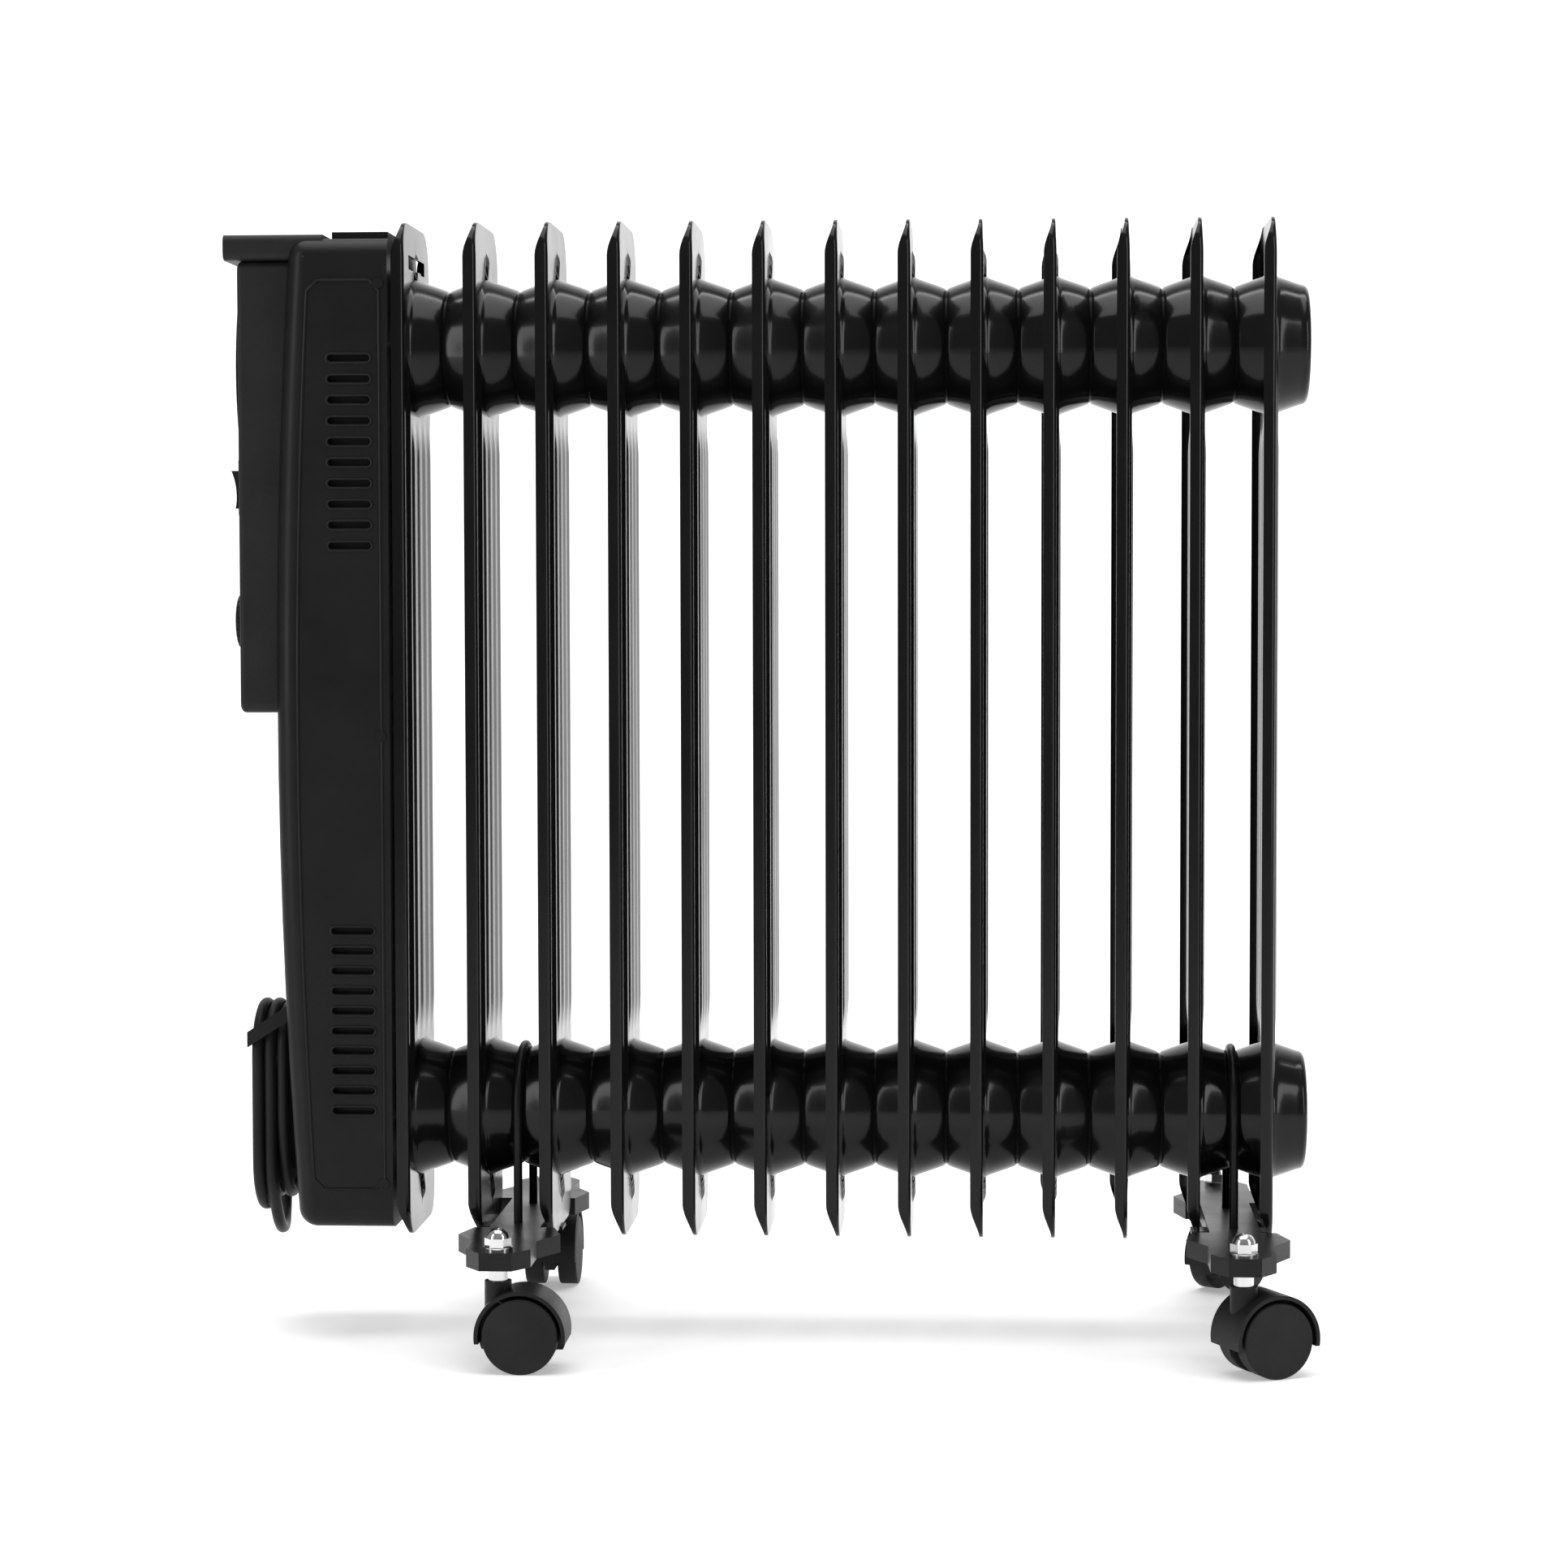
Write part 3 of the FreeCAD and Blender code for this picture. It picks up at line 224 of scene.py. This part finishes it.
def fin_rings():
    """Closed sections up the fin, as an array of (row, point, xyz) in millimetres, x from the right face."""
    ends = FIN_ROUND * (1 - np.cos(np.linspace(0, np.pi / 2, 10)))
    z = np.concatenate([FIN_LOW + ends, np.linspace(FIN_LOW + 20, SLOT_LOW, 130), [616.5, 619.5],
                        [SLOT_HIGH], FIN_HIGH - ends[::-1]])
    rows = []
    for height in z:
        gap = min(height - FIN_LOW, FIN_HIGH - height)
        corner = FIN_ROUND - min(gap, FIN_ROUND)
        half = FIN_HALF - FIN_ROUND + math.sqrt(max(FIN_ROUND ** 2 - corner ** 2, 0.0))
        depth = FIN_T + 0.4 + (FIN_EDGE - FIN_T - 0.4) * float(smooth(0.0, 21.0, gap))
        radius = min(3.0, depth - 0.3)
        turn = np.linspace(0, np.pi / 2, 7)
        fold = np.stack([-radius + radius * np.sin(turn), -half + radius - radius * np.cos(turn)], axis=1)
        y = np.linspace(-half + radius, half - radius, PLATE)
        right = np.stack([swell(y, height), y], axis=1)
        inner = np.linspace(half - radius, -half + radius, PLATE)
        left = np.stack([-FIN_T - swell(inner, height), inner], axis=1)
        r_in = max(radius - FIN_T, 0.2)
        inside = np.stack([-FIN_T - r_in + r_in * np.sin(turn), -half + FIN_T + r_in - r_in * np.cos(turn)], axis=1)
        tip, tip_in = [[-depth, -half]], [[-depth, -half + FIN_T]]
        ring = np.concatenate([tip, fold[:-1], right, fold[:-1][::-1] * [1, -1], np.array(tip) * [1, -1],
                               np.array(tip_in) * [1, -1], inside[:-1] * [1, -1], left, inside[:-1][::-1], tip_in])
        lean = -0.03 * max(height - 619.0, 0.0)
        rows.append(np.column_stack([ring[:, 0] + lean, ring[:, 1], np.full(len(ring), height)]))
    return np.array(rows), z


def fin_faces(rings, z, slotted):
    """Quads round the sections, caps at both ends, and if slotted the slot's opening with its four walls."""
    rows, points = rings.shape[:2]
    quads = grid_faces(rows, points)
    caps = [tuple(range(points))[::-1], tuple(range((rows - 1) * points, rows * points))]
    if not slotted:
        return [tuple(q) for q in quads] + caps
    first_right = 7
    first_left = first_right + PLATE + 6 + 1 + 1 + 6
    row = quads[:, 0] // points
    column = quads[:, 0] % points
    on_plate = ((column >= first_right) & (column < first_right + PLATE - 1)) | (
        (column >= first_left) & (column < first_left + PLATE - 1))
    y_of = rings[rows // 2, :, 1]
    beside = (np.abs(y_of[column]) < SLOT_HALF) & (np.abs(y_of[(column + 1) % points]) < SLOT_HALF)
    level = (z[row] >= SLOT_LOW - 0.01) & (z[row] < SLOT_HIGH - 0.01)
    faces = [tuple(q) for q in quads[~(on_plate & beside & level)]]
    open_right = [j for j in range(PLATE) if abs(y_of[first_right + j]) < SLOT_HALF]
    low_row, high_row = int(np.argmin(abs(z - SLOT_LOW))), int(np.argmin(abs(z - SLOT_HIGH)))

    def at(r, j, side):
        return r * points + (first_right + j if side else first_left + PLATE - 1 - j)

    for j in open_right[:-1]:
        faces.append((at(low_row, j, 0), at(low_row, j + 1, 0), at(low_row, j + 1, 1), at(low_row, j, 1)))
        faces.append((at(high_row, j, 1), at(high_row, j + 1, 1), at(high_row, j + 1, 0), at(high_row, j, 0)))
    for r in range(low_row, high_row):
        a, b = open_right[0], open_right[-1]
        faces.append((at(r, a, 1), at(r + 1, a, 1), at(r + 1, a, 0), at(r, a, 0)))
        faces.append((at(r, b, 0), at(r + 1, b, 0), at(r + 1, b, 1), at(r, b, 1)))
    return faces + caps


rings, ring_heights = fin_rings()
slotted_faces, plain_faces = (fin_faces(rings, ring_heights, cut) for cut in (True, False))
fin_names = sorted(n for n in nodes if n.startswith("fin_"))
sheet_places = []
for name in fin_names:
    low, high = node_box(name)
    right_face = high.x - CHANNEL_STAND * MM
    sheet_places.append(right_face - FIN_T / 2 * MM)
    shape = rings.reshape(-1, 3) * MM + [right_face, 0, 0]
    faces = slotted_faces if name == fin_names[0] else plain_faces
    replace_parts(new_piece("pressed_" + name, shape, faces, "fin_paint", crease=0.7), name)


# ---- Headers: two tubes of dished steel bosses, one each side of every fin, seam welded at their waists ----
# Each is turned about its own axis; the far end is closed by a shallow dome.
def lathe_x(profile, height, segments=96):
    """Turns (x, radius) points in metres about the line along X at a height. Ends on the axis are points."""
    angle = np.linspace(0, 2 * np.pi, segments, endpoint=False)
    x, r = np.array(profile).T
    ring = np.stack([np.repeat(x, segments), np.outer(r, np.cos(angle)).ravel(),
                     np.outer(r, np.sin(angle)).ravel() + height], axis=1)
    faces = [tuple(f) for f in grid_faces(len(x), segments)]
    faces.append(tuple(range(segments))[::-1])
    faces.append(tuple(range((len(x) - 1) * segments, len(x) * segments)))
    return ring, faces


BOSS = [(0.0, 40.8), (1.9, 40.5), (2.9, 39.6), (4.5, 38.8), (7.5, 37.7), (11.0, 36.5), (15.0, 35.1), (18.5, 33.8),
        (19.7, 33.2), (20.1, 32.7), (20.5, 32.4)]
header_profile = [(sheet_places[0] - 0.7 * MM, 40.8 * MM)]
for i, sheet in enumerate(sheet_places):
    last = i == len(sheet_places) - 1
    if i:
        header_profile += [(sheet - x * MM, r * MM) for x, r in BOSS[::-1]]
    header_profile += [(sheet + x * MM, r * MM) for x, r in (BOSS[1:-1] if not last else BOSS[1:7])]
turn = np.linspace(0, np.pi / 2, 7)
end_x = sheet_places[-1]
header_profile += [(end_x + (17.5 + 4 * math.sin(a)) * MM, (30.2 + 4 * math.cos(a)) * MM) for a in turn]
header_profile += [(end_x + (21.5 + 1.5 * (1 - (r / 28) ** 2)) * MM, r * MM) for r in (28, 24, 18, 11, 4, 1)]
for name, height in zip(("lower_header", "upper_header"), HEADERS):
    ring, faces = lathe_x(header_profile, height * MM)
    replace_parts(new_piece("welded_" + name, ring, faces, "fin_paint", crease=0.9), name)


# ---- Box trim: rims pressed round the air slots and a bead pressed round each side of the steel box ----
# The rims and the bead are part of the box's sheet, and stand a little out of it.
def tube_loop(path, radius, sides=8):
    """A closed tube of a radius along a closed path that lies in a plane of constant y."""
    path = np.array(path)
    along = np.roll(path, -1, axis=0) - np.roll(path, 1, axis=0)
    along /= np.linalg.norm(along, axis=1)[:, None]
    across = np.cross(along, [0, 1, 0])
    angle = np.linspace(0, 2 * np.pi, sides, endpoint=False)
    ring = path[:, None, :] + radius * (across[:, None, :] * np.cos(angle)[None, :, None]
                                        + np.array([0, 1, 0]) * np.sin(angle)[None, :, None])
    faces = grid_faces(len(path) + 1, sides)
    return ring.reshape(-1, 3), faces % (len(path) * sides)


def oval(x, z, half_length, half_height, y, steps=10):
    """A slot-shaped loop in the plane of constant y."""
    turn = np.linspace(-np.pi / 2, np.pi / 2, steps)
    reach = half_length - half_height
    right = [(x + reach + half_height * math.cos(a), y, z + half_height * math.sin(a)) for a in turn]
    left = [(x - reach - half_height * math.cos(a), y, z - half_height * math.sin(a)) for a in turn]
    return right + left


box_low, box_high = node_box("box_casing")
slot_x = box_high.x - 22 * MM
upper_slots = np.linspace(456.0, 562.0, 10)
lower_slots = np.linspace(134.0, 237.0, 10)
trim_points, trim_faces = [], []
for y in (box_low.y, box_high.y):
    loops = [(oval(slot_x, z * MM, 12.8 * MM, 2.6 * MM, y), 0.75 * MM) for z in [*upper_slots, *lower_slots]]
    bead = []
    for z in np.linspace(0.095, 0.600, 60):
        bulge = 1 - ((z - 0.350) / 0.285) ** 2
        bead.append((box_high.x - (43.5 + 9.0 * bulge) * MM, y, z))
    bead += [(x, y, 0.606) for x in np.linspace(bead[-1][0] + 0.006, box_high.x - 0.010, 12)]
    bead += [(box_high.x - 0.0045, y, z) for z in np.linspace(0.600, 0.095, 60)]
    bead += [(x, y, 0.089) for x in np.linspace(box_high.x - 0.010, bead[0][0] + 0.006, 12)]
    loops.append((bead, 0.9 * MM))
    for path, radius in loops:
        ring, faces = tube_loop(path, radius)
        start = sum(len(p) for p in trim_points)
        trim_points.append(ring)
        trim_faces += [tuple(f) for f in faces + start]
new_piece("box_pressed_trim", np.concatenate(trim_points), trim_faces, "box_paint")


# ---- Panel markings: printed dial strokes round the thermostat knob, on the moulded panel ----
# The strokes grow from the low end of the dial to the high end.
panel_low = node_box("control_panel")[0]
knob_low, knob_high = node_box("thermostat_knob")
knob_centre = (knob_low + knob_high) / 2


def stroke(centre_y, centre_z, angle, inner, outer, width, x):
    """A thin printed bar that points away from a centre."""
    out = np.array([0, math.sin(angle), math.cos(angle)])
    side = np.array([0, math.cos(angle), -math.sin(angle)])
    middle = np.array([x, centre_y, centre_z])
    flat = [middle + out * a + side * b for a in (inner, outer) for b in (-width, width)]
    return flat + [p + [0.25 * MM, 0, 0] for p in flat]


BAR_FACES = np.array([(0, 1, 3, 2), (4, 6, 7, 5), (0, 4, 5, 1), (2, 3, 7, 6), (0, 2, 6, 4), (1, 5, 7, 3)])
marks, mark_faces = [], []
for i in range(11):
    angle = math.radians(-135 + 27 * i)
    marks += stroke(0, knob_centre.z, angle, 19 * MM, (21 + 0.35 * i) * MM, 0.45 * MM, panel_low.x - 0.12 * MM)
    mark_faces += [tuple(f) for f in BAR_FACES + 8 * i]
new_piece("dial_marks", marks, mark_faces, "marking_white", crease=0.3)


# ---- Cord: round black mains cord, wound as an upright oval hank beside the cleat, ending in the plug ----
# It leaves the bush, dips under the hank, winds round it in two layers and hangs down again to the plug.
CORD = 7.0
hank_low, hank_high = node_box("cord_hank")
plug_low, plug_high = node_box("plug")
bush_low, bush_high = node_box("cord_bush")
hank_x = (hank_low.x + hank_high.x) / 2 / MM
plug_y = (plug_low.y + plug_high.y) / 2 / MM
OUTER, INNER = 27.5, 20.1
LANE = 7.35
BENDS = (99.0, 162.0)
POINTS_PER_TURN = 40


def on_oval(share, radius):
    """A point (y, z) a share of the way round an upright oval, from the bottom, up its front side and over."""
    straight, quarter = BENDS[1] - BENDS[0], math.pi * radius / 2
    around = 2 * straight + 4 * quarter
    d = (share % 1.0) * around
    if d < quarter:
        a = d / radius
        return -radius * math.sin(a), BENDS[0] - radius * math.cos(a)
    if d < quarter + straight:
        return -radius, BENDS[0] + d - quarter
    if d < 3 * quarter + straight:
        a = (d - quarter - straight) / radius
        return -radius * math.cos(a), BENDS[1] + radius * math.sin(a)
    if d < 3 * quarter + 2 * straight:
        return radius, BENDS[1] - (d - 3 * quarter - straight)
    a = (d - 3 * quarter - 2 * straight) / radius
    return radius * math.cos(a), BENDS[0] - radius * math.sin(a)


# each turn starts in one lane and moves to the next over a short stretch, earlier on every turn
LANES = [(0.0, OUTER), (-LANE, OUTER), (-LANE, INNER), (0.0, INNER), (LANE, INNER), (LANE, OUTER)]
MOVES = [(0.78, 0.96), (0.60, 0.76), (0.43, 0.58), (0.26, 0.41), (0.06, 0.24)]
exit_z = (bush_low.z + bush_high.z) / 2 / MM
exit_y = (bush_low.y + bush_high.y) / 2 / MM
exit_x = bush_low.x / MM + 5.0
low_x = hank_x - 3.6
cord_points = [(exit_x, exit_y, exit_z), (exit_x - 7, exit_y, exit_z), (low_x + 5, exit_y, exit_z - 0.5),
               (low_x + 1, exit_y, exit_z - 5), (low_x, exit_y - 1, 74), (low_x + 0.3, exit_y - 4, 65),
               (low_x + 1.6, 25, 58.5), (low_x + 2.8, 16, 55.2), (hank_x - 0.3, 6, 56.0), (hank_x, -3, 60.5),
               (hank_x, -9.5, 66.5)]
START = 0.065
for turn_number, ((x0, r0), (x1, r1), (begin, end)) in enumerate(
        (a, b, c) for a, b, c in zip(LANES, LANES[1:], MOVES)):
    stop = 1.0 if turn_number < len(MOVES) - 1 else 0.50
    start = START if turn_number == 0 else 0.0
    for share in np.arange(start, stop, 1 / POINTS_PER_TURN):
        moved = float(smooth(begin, end, share))
        y, z = on_oval(share, r0 + (r1 - r0) * moved)
        cord_points.append((hank_x + x0 + (x1 - x0) * moved, y, z))
plug_top = plug_high.z / MM
cord_points += [(hank_x + LANE, 9, 189), (hank_x + 5.5, 20, 187.5), (hank_x + 3.4, 31, 184),
                (hank_x + 1.4, 39.5, 178), (hank_x + 0.3, plug_y - 1.2, plug_top - 6),
                (hank_x, plug_y, plug_top - 14), (hank_x, plug_y, plug_top - 24)]
line = bpy.data.curves.new("mains_cord", "CURVE")
line.dimensions = "3D"
line.bevel_depth = CORD / 2 * MM
line.bevel_resolution = 5
line.use_fill_caps = True
line.resolution_u = 3
spline = line.splines.new("NURBS")
spline.points.add(len(cord_points) - 1)
for point, place in zip(spline.points, cord_points):
    point.co = (*(c * MM for c in place), 1)
spline.order_u = 3
spline.use_endpoint_u = True
cord_piece = bpy.data.objects.new("mains_cord", line)
bpy.context.scene.collection.objects.link(cord_piece)
dress(cord_piece, "cord_jacket")
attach(cord_piece, "heater")
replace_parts(cord_piece, "cord", "cord_hank")


# ---- Studio: a pale floor that curves up into the backdrop, soft lights above and to both sides ----
# None of this is part of the heater.
sweep_rows = [(-4.0, 0.0), (2.2, 0.0)]
sweep_rows += [(2.2 + 1.5 * math.sin(a), 1.5 - 1.5 * math.cos(a)) for a in np.linspace(0.1, np.pi / 2, 16)]
sweep_rows.append((3.7, 6.0))
sweep_points = [(x, y, z) for y, z in sweep_rows for x in (-7.0, 7.0)]
sweep_mesh = bpy.data.meshes.new("studio_sweep")
sweep_faces = [(2 * i, 2 * i + 1, 2 * i + 3, 2 * i + 2) for i in range(len(sweep_rows) - 1)]
sweep_mesh.from_pydata(sweep_points, [], sweep_faces)
sweep_mesh.polygons.foreach_set("use_smooth", [True] * len(sweep_mesh.polygons))
sweep = bpy.data.objects.new("studio_sweep", sweep_mesh)
bpy.context.scene.collection.objects.link(sweep)
FINISHES["paper"] = finish_of("pale paper", grey(0.84), grey(0.86), (0.8, 0.9), 40, 0.02, glow=0.32)
dress(sweep, "paper")


def soft_light(name, place, aim, size, power):
    light = bpy.data.lights.new(name, "AREA")
    light.shape = "RECTANGLE"
    light.size, light.size_y = size
    light.energy = power
    lamp = bpy.data.objects.new(name, light)
    bpy.context.scene.collection.objects.link(lamp)
    lamp.location = place
    lamp.rotation_euler = (Vector(aim) - Vector(place)).to_track_quat("-Z", "Y").to_euler()


soft_light("overhead_softbox", (0.0, -0.3, 2.4), (0, 0, 0.3), (2.4, 1.6), 40)
soft_light("left_strip", (-1.9, -1.3, 0.9), (0, 0, 0.35), (0.5, 1.8), 15)
soft_light("right_strip", (2.0, -1.2, 1.0), (0, 0, 0.35), (0.5, 1.8), 15)
soft_light("backdrop_wash", (0, 0.9, 3.2), (0, 3.4, 1.2), (4.0, 1.0), 90)
world = bpy.data.worlds.new("studio_fill")
world.use_nodes = True
world.node_tree.nodes["Background"].inputs["Color"].default_value = (0.8, 0.8, 0.8, 1)
world.node_tree.nodes["Background"].inputs["Strength"].default_value = 0.35
bpy.context.scene.world = world

# ---- Camera: in front of the core and a little to the right of its middle, at about two thirds of its height ----
# Fins to the left of the camera show their right faces, and fins to its right show their left faces.
YAW, PITCH, ROLL = -0.056, 0.051, -0.002
ahead = Vector((math.sin(YAW) * math.cos(PITCH), math.cos(YAW) * math.cos(PITCH), -math.sin(PITCH)))
across = Vector((math.cos(YAW), -math.sin(YAW), 0))
upward = across.cross(ahead)
right = math.cos(ROLL) * across + math.sin(ROLL) * upward
up = -math.sin(ROLL) * across + math.cos(ROLL) * upward
lens = bpy.data.cameras.new("camera")
lens.lens = 86.84
lens.sensor_width = 36.0
camera = bpy.data.objects.new("camera", lens)
bpy.context.scene.collection.objects.link(camera)
camera.matrix_world = Matrix.Translation((0.0694, -2.1869, 0.430)) @ Matrix((right, up, -ahead)).transposed().to_4x4()
bpy.context.scene.camera = camera
bpy.context.scene.view_settings.view_transform = "Standard"
